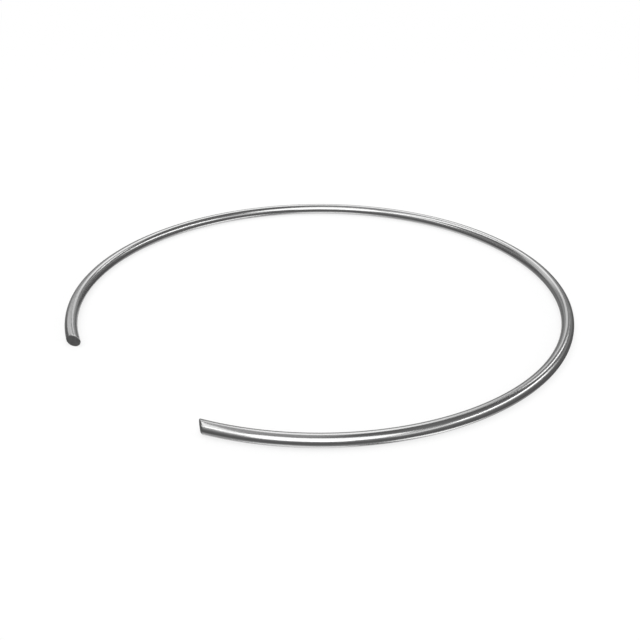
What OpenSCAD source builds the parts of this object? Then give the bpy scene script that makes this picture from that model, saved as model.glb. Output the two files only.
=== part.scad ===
/* [Wire] */
// Diameter of the round spring wire
wire_d = 3.2; // [1.6:0.1:5]

/* [Ring] */
// Outer diameter of the ring, lying free
ring_od = 135; // [60:1:200]
// Angle of the opening, measured between the middles of the two cut ends
opening_angle = 45.7; // [10:0.1:120]

/* [Cut ends] */
// Slant of each cut from a radial line, with the inner edge the longer one
cut_angle = 36; // [0:1:45]
// Radius of the rounded edge around the cut face on the +X side of the opening
right_edge_r = 0.5; // [0.1:0.05:0.7]
// Radius of the rounded edge around the cut face on the -X side of the opening
left_edge_r = 0.2; // [0.1:0.05:0.7]

/* [Hidden] */
// Facets around the wire and around the ring
wire_fn = 32;
ring_fn = 180;

wire_r = wire_d / 2;
// Radius of the circle that the middle of the wire follows
ring_r = (ring_od - wire_d) / 2;
// How far the cut runs along the wire for each millimetre across it
cut_slope = tan(cut_angle);
// Length of wire, to each side of the middle of the cut, that the slant and the round take up
cut_reach = wire_r * cut_slope + 1.1 * max(right_edge_r, left_edge_r);
// The cutter that shapes an end is straight, so it clears the bent wire behind the round by this much
cutter_gap = pow(cut_reach, 2) / (2 * ring_r) + 0.005;
// The wire is bent this much past the middle of each cut before it is cut
spare_angle = atan(2 * cut_reach / ring_r);
// The opening faces -Y, and the wire runs round from its +X side to its -X side
first_angle = -90 + opening_angle / 2;
bent_angle = 360 - opening_angle;

// The bent wire, before its ends are cut
module bent_wire() {
    rotate_extrude(angle = bent_angle + 2 * spare_angle, start = first_angle - spare_angle, $fn = ring_fn)
        translate([ring_r, 0]) circle(d = wire_d, $fn = wire_fn);
}

// Half outline of a wire end cut square at Y = 0, with its rounded edge
module end_outline(edge_r) {
    core_r = wire_r + cutter_gap;
    core_len = 4 * cut_reach;
    translate([0, -core_len]) square([core_r, core_len - edge_r]);
    translate([0, -core_len]) square([core_r - edge_r, core_len]);
    translate([core_r - edge_r, -edge_r]) circle(r = edge_r, $fn = wire_fn);
}

// Cutter along +Z that leaves a slanted, rounded end, the cut leaning back on its +X side
module end_cutter(edge_r) {
    side = 2 * wire_d;
    difference() {
        translate([-side / 2, -side / 2, -cut_reach]) cube([side, side, 4 * cut_reach]);
        multmatrix([[1, 0, 0, 0], [0, 1, 0, 0], [-cut_slope, 0, 1, 0], [0, 0, 0, 1]])
            rotate_extrude($fn = wire_fn) end_outline(edge_r);
    }
}

// The cutter set at the end of the wire that lies on the +X side of the opening
module cutter_at_end(edge_r) {
    rotate([0, 0, first_angle]) translate([ring_r, 0, 0]) rotate([90, 0, 0]) end_cutter(edge_r);
}

// One open ring of round wire, its middle plane at Z = 0
module retaining_ring() {
    color("silver") difference() {
        bent_wire();
        cutter_at_end(right_edge_r);
        mirror([1, 0, 0]) cutter_at_end(left_edge_r);
    }
}

retaining_ring();
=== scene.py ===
"""A retaining ring of round spring wire, lying on a pale studio floor."""

import math

import bpy
from mathutils import Matrix, Vector


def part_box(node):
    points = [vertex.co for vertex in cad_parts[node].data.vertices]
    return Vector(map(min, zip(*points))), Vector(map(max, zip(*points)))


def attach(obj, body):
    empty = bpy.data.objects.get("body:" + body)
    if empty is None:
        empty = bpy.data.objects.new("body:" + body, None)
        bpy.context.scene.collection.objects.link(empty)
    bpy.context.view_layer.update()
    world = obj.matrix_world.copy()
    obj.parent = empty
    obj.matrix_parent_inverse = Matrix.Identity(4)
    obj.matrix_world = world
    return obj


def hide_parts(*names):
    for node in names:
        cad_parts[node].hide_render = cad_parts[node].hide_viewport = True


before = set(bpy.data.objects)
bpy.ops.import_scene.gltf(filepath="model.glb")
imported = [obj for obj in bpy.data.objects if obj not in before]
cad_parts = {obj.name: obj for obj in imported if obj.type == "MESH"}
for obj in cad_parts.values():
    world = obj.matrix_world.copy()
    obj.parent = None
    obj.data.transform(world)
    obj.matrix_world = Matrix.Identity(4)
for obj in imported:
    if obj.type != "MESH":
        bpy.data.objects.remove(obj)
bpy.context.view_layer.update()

# The ring, in metres, with its two driving sizes read from the solid's box
NODE = "retaining_ring"
BOX_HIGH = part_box(NODE)[1]
WIRE_R = BOX_HIGH[2]
RING_R = BOX_HIGH[1] - WIRE_R
OPENING_ANGLE = math.radians(45.7)
CUT_SLOPE = math.tan(math.radians(36))
# The radius of the rounded edge at each end:
# 1 is the end on the +X side of the opening, and -1 the other
EDGE_R = {1: 0.0005, -1: 0.0002}

# The camera: bearings turn to its right, from the side of the ring that faces it
VIEW_AZIMUTH = 45.6
VIEW_ELEVATION = 28.389
VIEW_DISTANCE = 0.23122
AIM_NEAR = 0.01323
AIM_RIGHT = 0.00015
LENS_MM = 50


def toward(bearing, elevation):
    """Unit vector from the ring's centre, in degrees round from the camera and up from the floor."""
    turn = math.radians(VIEW_AZIMUTH + bearing)
    rise = math.radians(elevation)
    return Vector((math.sin(turn) * math.cos(rise), -math.cos(turn) * math.cos(rise), math.sin(rise)))


def add_object(name, data):
    """A new object in the scene, holding data."""
    thing = bpy.data.objects.new(name, data)
    bpy.context.scene.collection.objects.link(thing)
    return thing


def add_camera():
    """The camera at the photograph's viewing angle."""
    data = bpy.data.cameras.new("camera")
    data.lens = LENS_MM
    data.clip_start = 0.001
    camera = add_object("camera", data)
    aim = toward(0, 0) * AIM_NEAR + toward(90, 0) * AIM_RIGHT
    back = toward(0, VIEW_ELEVATION)
    camera.location = aim + back * VIEW_DISTANCE
    camera.rotation_euler = back.to_track_quat("Z", "Y").to_euler()
    bpy.context.scene.camera = camera


# The ring's mesh

SECTION_STEPS = 96
LENGTH_STEPS = 480
ROUND_STEPS = 8
FACE_RINGS = (0.97, 0.8, 0.6, 0.4, 0.2)


def wall_end(end, around):
    """How far the wall reaches along the wire at this angle around it, from the middle of the cut."""
    return -EDGE_R[end] - CUT_SLOPE * WIRE_R * math.cos(around)


def end_profile(end):
    """(distance from the wire's middle, distance along it before the slant) for each ring of an end."""
    edge = EDGE_R[end]
    core = WIRE_R - edge
    steps = [math.pi / 2 * k / ROUND_STEPS for k in range(1, ROUND_STEPS + 1)]
    rounded = [(core + edge * math.cos(a), edge * math.sin(a) - edge) for a in steps]
    return rounded + [(core * share, 0.0) for share in FACE_RINGS]


def place(end, along, out, up):
    """A point of the wire: along it past the middle of a cut, and out and up from the wire's middle."""
    turn = -math.pi / 2 + end * (OPENING_ANGLE / 2 - along / RING_R)
    return ((RING_R + out) * math.cos(turn), (RING_R + out) * math.sin(turn), up)


def ring_mesh():
    """The ring as one closed mesh, which keeps each point's place on the unbent wire for its material."""
    points = []
    unbent = []
    cut = []
    length = RING_R * (2 * math.pi - OPENING_ANGLE)

    def add(end, along, out, up, cut_share):
        points.append(place(end, along, out, up))
        unbent.append((end * (length / 2 + along), out, up))
        cut.append(cut_share)

    angles = [2 * math.pi * i / SECTION_STEPS for i in range(SECTION_STEPS)]
    for j in range(LENGTH_STEPS + 1):
        share = j / LENGTH_STEPS
        for a in angles:
            reach = wall_end(1, a)
            back = (length + reach + wall_end(-1, a)) * share
            add(1, reach - back, WIRE_R * math.cos(a), WIRE_R * math.sin(a), 0.0)
    for end in (1, -1):
        for k, (off, before_slant) in enumerate(end_profile(end)):
            cut_share = min(1.0, (k + 1) / ROUND_STEPS)
            for a in angles:
                out = off * math.cos(a)
                add(end, before_slant - CUT_SLOPE * out, out, off * math.sin(a), cut_share)
        add(end, 0.0, 0.0, 0.0, 1.0)

    faces = []

    def ring_of_faces(first, second):
        for i in range(SECTION_STEPS):
            n = (i + 1) % SECTION_STEPS
            faces.append((first + i, first + n, second + n, second + i))

    for j in range(LENGTH_STEPS):
        ring_of_faces(j * SECTION_STEPS, (j + 1) * SECTION_STEPS)
    cap_rings = ROUND_STEPS + len(FACE_RINGS)
    cap_size = cap_rings * SECTION_STEPS + 1
    cap_start = (LENGTH_STEPS + 1) * SECTION_STEPS
    for end, wall in ((1, 0), (-1, LENGTH_STEPS * SECTION_STEPS)):
        rings = [wall] + [cap_start + k * SECTION_STEPS for k in range(cap_rings)]
        for first, second in zip(rings, rings[1:]):
            ring_of_faces(*((second, first) if end == 1 else (first, second)))
        middle = cap_start + cap_size - 1
        for i in range(SECTION_STEPS):
            n = (i + 1) % SECTION_STEPS
            pair = (rings[-1] + n, rings[-1] + i) if end == 1 else (rings[-1] + i, rings[-1] + n)
            faces.append((*pair, middle))
        cap_start += cap_size

    mesh = bpy.data.meshes.new("retaining_ring_wire")
    mesh.from_pydata(points, [], faces)
    mesh.attributes.new("unbent", "FLOAT_VECTOR", "POINT").data.foreach_set(
        "vector", [value for point in unbent for value in point])
    mesh.attributes.new("cut", "FLOAT", "POINT").data.foreach_set("value", cut)
    mesh.shade_smooth()
    return mesh


# Materials

# The middle of a noise's range, which its patterns are stretched over
NOISE_LOW = 0.3
NOISE_HIGH = 0.7
# Features per metre along the wire, out from its middle, and up
DIE_LINES = (45, 9000, 9000)
STREAKS = (24, 2400, 2400)
MOTTLE = (420, 700, 700)
SHEAR_LINES = (300, 9000, 500)
# The steel from the darkest to the lightest, and from the smoothest to the roughest
WALL_TONE = (0.56, 0.64)
FACE_TONE = (0.34, 0.46)
WALL_ROUGH = (0.15, 0.19)
FACE_ROUGH = (0.34, 0.5)
# How far the mottle moves the wall's tone and roughness, either way
MOTTLE_SHIFT = 0.015
# The depth of the streaks in metres, and that of the finer lines as shares of it
STREAK_DEPTH = 0.000003
DIE_LINE_SHARE = 0.06
SHEAR_LINE_SHARE = 0.5
# The part of a rounded edge over which the wall's steel turns into the face's
FACE_FROM = 0.15
FACE_TO = 0.6


class Nodes:
    """Adds nodes to a material and links them."""

    def __init__(self, name):
        self.material = bpy.data.materials.new(name)
        self.material.use_nodes = True
        self.tree = self.material.node_tree
        self.tree.nodes.clear()

    def add(self, kind, inputs=None, **settings):
        node = self.tree.nodes.new(kind)
        for key, value in settings.items():
            setattr(node, key, value)
        for key, value in (inputs or {}).items():
            if isinstance(value, bpy.types.NodeSocket):
                self.tree.links.new(value, node.inputs[key])
            else:
                node.inputs[key].default_value = value
        return node

    def stretched_noise(self, vector, scale, detail=2.0):
        """Noise whose features measure 1 / scale metres along the wire, out from its middle, and up."""
        scaled = self.add("ShaderNodeVectorMath", {0: vector, 1: scale}, operation="MULTIPLY")
        noise = self.add("ShaderNodeTexNoise", {
            "Vector": scaled.outputs[0], "Scale": 1.0, "Detail": detail})
        return noise.outputs["Fac"]

    def between(self, value, from_low, from_high, low, high):
        """value taken from one range to another, held at its ends."""
        node = self.add("ShaderNodeMapRange", {
            "Value": value, "From Min": from_low, "From Max": from_high, "To Min": low, "To Max": high})
        return node.outputs["Result"]

    def from_noise(self, noise, low, high):
        """A noise's pattern, taken to the range from low to high."""
        return self.between(noise, NOISE_LOW, NOISE_HIGH, low, high)

    def math(self, operation, first, second):
        return self.add("ShaderNodeMath", {0: first, 1: second}, operation=operation).outputs[0]

    def mix(self, share, first, second):
        node = self.add("ShaderNodeMix", {"Factor": share, 2: first, 3: second}, data_type="FLOAT")
        return node.outputs[0]


def spring_steel():
    """Bright drawn wire with die lines along it, and sheared faces at its two ends."""
    n = Nodes("spring_steel")
    wire = n.add("ShaderNodeAttribute", attribute_name="unbent").outputs["Vector"]
    cut = n.add("ShaderNodeAttribute", attribute_name="cut").outputs["Fac"]
    on_face = n.between(cut, FACE_FROM, FACE_TO, 0.0, 1.0)

    die_lines = n.stretched_noise(wire, DIE_LINES)
    streaks = n.stretched_noise(wire, STREAKS, detail=1.0)
    mottle = n.stretched_noise(wire, MOTTLE, detail=4.0)
    shear_lines = n.stretched_noise(wire, SHEAR_LINES, detail=3.0)
    shift = n.from_noise(mottle, -MOTTLE_SHIFT, MOTTLE_SHIFT)

    wall_tone = n.math("ADD", n.from_noise(streaks, *WALL_TONE), shift)
    face_tone = n.from_noise(shear_lines, *FACE_TONE)
    tone = n.mix(on_face, wall_tone, face_tone)
    colour = n.add("ShaderNodeCombineColor", {"Red": tone, "Green": tone, "Blue": tone})

    wall_rough = n.math("ADD", n.from_noise(die_lines, *WALL_ROUGH), shift)
    face_rough = n.from_noise(shear_lines, *FACE_ROUGH)
    rough = n.mix(on_face, wall_rough, face_rough)

    drawn = n.math("ADD", streaks, n.math("MULTIPLY", die_lines, DIE_LINE_SHARE))
    sheared = n.math("MULTIPLY", shear_lines, SHEAR_LINE_SHARE)
    height = n.mix(on_face, drawn, sheared)
    bump = n.add("ShaderNodeBump", {"Strength": 1.0, "Distance": STREAK_DEPTH, "Height": height})
    steel = n.add("ShaderNodeBsdfPrincipled", {
        "Base Color": colour.outputs[0], "Metallic": 1.0, "Roughness": rough, "Normal": bump.outputs[0]})
    n.add("ShaderNodeOutputMaterial", {"Surface": steel.outputs[0]})
    return n.material


def add_ring():
    """The wire ring, in place of its plain solid."""
    ring = add_object("retaining_ring_steel", ring_mesh())
    ring.data.materials.append(spring_steel())
    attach(ring, "root")
    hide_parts(NODE)


# The studio: soft lights round the ring, in a room with a dark belt at the height of the floor

ROOM_R = 3.5
ROOM_SEGMENTS = 64
FLOOR_R = 3.4
FLOOR_SEGMENTS = 128
LIGHT_DISTANCE = 2.4
# The wall's brightness from straight down to straight up:
# elevation in degrees, on the side at LIT_BEARING, on the other side
LIT_BEARING = 183
ROOM_TONES = (
    (-90, 0.86, 1.32), (-75, 0.68, 0.02), (-62, 1.08, 0.02), (-52, 0.64, 0.36), (-42, 0.37, 0.22),
    (-30, 0.06, 0.13), (-18, 0.14, 0.16), (-8, 0.11, 0.16), (2, 0.12, 0.20), (14, 0.32, 0.26),
    (28, 0.03, 0.71), (45, 0.07, 0.25), (65, 0.16, 0.20), (90, 0.04, 0.17),
)
# name: bearing, elevation, roll, width and height in metres, and brightness, where 1 is white
SOFT_LIGHTS = {
    "front_box": (2.5, 45, -18.4, 2.421, 1.552, 1.44),
    "left_box": (-77.8, 57.8, 72.5, 0.699, 3.837, 1.18),
    "left_lamp": (-63.8, 35.6, 42.4, 1.442, 0.386, 1.27),
    "right_strip": (72, 23.2, 4.9, 4.323, 0.645, 0.59),
    "right_lamp": (139.4, 35.1, 28.6, 0.323, 0.72, 2.08),
    "rear_box": (192.5, -7.8, 18, 2.843, 5.28, 0.11),
    "rear_core": (176, 39.9, 0.8, 0.808, 1.831, 0.66),
    "rear_strip": (194.2, 38.9, -24.1, 3.478, 0.99, 0.52),
    "left_wash": (213.1, 62.8, 52.7, 3.219, 1.802, 0.27),
    "right_under": (66.4, -57.2, -11.3, 1.569, 0.678, 1.15),
    "right_core": (84.6, 27.3, -4.2, 2.216, 0.288, 2.03),
    "front_strip": (-7.1, 21.4, -8.2, 1.701, 0.627, 1.49),
    "front_under": (-15.8, -72.1, -39.3, 1.267, 1.194, 0.91),
    "rear_under": (176.2, -33, 0.3, 0.505, 1.322, 0.44),
    "rear_lamp": (152.3, 26.3, -1.1, 0.547, 0.37, 0.31),
}
# The light that the steel doesn't show, for the floor and the shadow on it
OVERHEAD_SIZE = 2.4
OVERHEAD_BRIGHTNESS = 1.3263
FLOOR_GRAIN = (400, 400, 400)
FLOOR_TONE = (0.975, 0.985)
# The share of plain white in what the camera sees of the floor. It is the same out to
# WHITER_FROM metres from the ring's centre, and grows to the whole at ALL_WHITE_FROM.
PLAIN_WHITE = 0.75
WHITER_FROM = 0.1
ALL_WHITE_FROM = 0.5


def add_soft_light(name, bearing, elevation, roll, width, height, brightness):
    """A rectangular soft light that faces the ring, and shows in the steel at this brightness."""
    data = bpy.data.lights.new(name, "AREA")
    data.shape = "RECTANGLE"
    data.size = width
    data.size_y = height
    data.energy = brightness * math.pi * width * height
    light = add_object(name, data)
    direction = toward(bearing, elevation)
    light.location = direction * LIGHT_DISTANCE
    facing = direction.to_track_quat("Z", "Y").to_matrix()
    light.rotation_euler = (facing @ Matrix.Rotation(math.radians(roll), 3, "Z")).to_euler()
    return light


def room_wall():
    """Emission that follows the height on the wall, and changes slowly from one side to the other."""
    n = Nodes("room_wall")
    place_on = n.add("ShaderNodeTexCoord").outputs["Object"]
    outward = n.add("ShaderNodeVectorMath", {0: place_on}, operation="NORMALIZE").outputs[0]
    height = n.add("ShaderNodeSeparateXYZ", {0: outward}).outputs["Z"]
    share_up = n.between(n.math("ARCSINE", height, 0.0), -math.pi / 2, math.pi / 2, 0.0, 1.0)
    level = n.add("ShaderNodeVectorMath", {0: outward, 1: (1, 1, 0)}, operation="MULTIPLY").outputs[0]
    level = n.add("ShaderNodeVectorMath", {0: level}, operation="NORMALIZE").outputs[0]
    lit_side = toward(LIT_BEARING, 0)
    across = n.add("ShaderNodeVectorMath", {0: level, 1: lit_side}, operation="DOT_PRODUCT")
    lit = n.between(across.outputs["Value"], -1.0, 1.0, 0.0, 1.0)
    tones = []
    for side in (1, 2):
        ramp = n.add("ShaderNodeValToRGB", {"Fac": share_up})
        stops = ramp.color_ramp.elements
        while len(stops) < len(ROOM_TONES):
            stops.new(0.5)
        for stop, row in zip(stops, ROOM_TONES):
            stop.position = (row[0] + 90) / 180
            stop.color = (row[side], row[side], row[side], 1.0)
        tones.append(ramp.outputs["Color"])
    tone = n.add("ShaderNodeMix", {"Factor": lit, 6: tones[1], 7: tones[0]}, data_type="RGBA").outputs[2]
    glow = n.add("ShaderNodeEmission", {"Color": tone, "Strength": 1.0})
    n.add("ShaderNodeOutputMaterial", {"Surface": glow.outputs[0]})
    n.material.cycles.emission_sampling = "NONE"
    return n.material


def add_room():
    """A round room that the steel mirrors. The camera doesn't see it."""
    bpy.ops.mesh.primitive_uv_sphere_add(
        segments=ROOM_SEGMENTS, ring_count=ROOM_SEGMENTS, radius=ROOM_R)
    room = bpy.context.object
    room.name = "room"
    room.data.materials.append(room_wall())
    room.visible_camera = False


def floor_material():
    """White with a faint grain. To the camera most of it is plain white, so that the shadow is light."""
    n = Nodes("floor")
    place_on = n.add("ShaderNodeTexCoord").outputs["Object"]
    grain = n.stretched_noise(place_on, FLOOR_GRAIN, detail=3.0)
    tone = n.from_noise(grain, *FLOOR_TONE)
    colour = n.add("ShaderNodeCombineColor", {"Red": tone, "Green": tone, "Blue": tone})
    matt = n.add("ShaderNodeBsdfDiffuse", {"Color": colour.outputs[0]})
    white = n.add("ShaderNodeEmission", {"Color": (1, 1, 1, 1), "Strength": 1.0})
    ray = n.add("ShaderNodeLightPath").outputs
    mirrored = n.math("ADD", ray["Is Glossy Ray"], ray["Is Transmission Ray"])
    seen = n.math("MINIMUM", n.math("ADD", ray["Is Camera Ray"], mirrored), 1.0)
    distance = n.add("ShaderNodeVectorMath", {0: place_on}, operation="LENGTH").outputs["Value"]
    plain = n.between(distance, WHITER_FROM, ALL_WHITE_FROM, PLAIN_WHITE, 1.0)
    share = n.math("MULTIPLY", seen, plain)
    both = n.add("ShaderNodeMixShader", {0: share, 1: matt.outputs[0], 2: white.outputs[0]})
    n.add("ShaderNodeOutputMaterial", {"Surface": both.outputs[0]})
    n.material.cycles.emission_sampling = "NONE"
    return n.material


def add_floor():
    """A white floor under the wire. The steel mirrors the room past it, and not the floor."""
    bpy.ops.mesh.primitive_circle_add(
        vertices=FLOOR_SEGMENTS, radius=FLOOR_R, fill_type="NGON", location=(0, 0, -WIRE_R))
    floor = bpy.context.object
    floor.name = "floor"
    floor.data.materials.append(floor_material())
    floor.visible_glossy = False


def add_studio():
    """A white world, the room, the floor and the lights."""
    world = bpy.data.worlds.new("white")
    world.use_nodes = True
    world.node_tree.nodes["Background"].inputs["Color"].default_value = (1, 1, 1, 1)
    world.node_tree.nodes["Background"].inputs["Strength"].default_value = 1.0
    bpy.context.scene.world = world
    bpy.context.scene.view_settings.view_transform = "Standard"
    add_room()
    add_floor()
    for name, setting in SOFT_LIGHTS.items():
        add_soft_light(name, *setting)
    size = OVERHEAD_SIZE
    overhead = add_soft_light("overhead", 0, 90, 0, size, size, OVERHEAD_BRIGHTNESS)
    overhead.visible_glossy = False


add_camera()
add_ring()
add_studio()
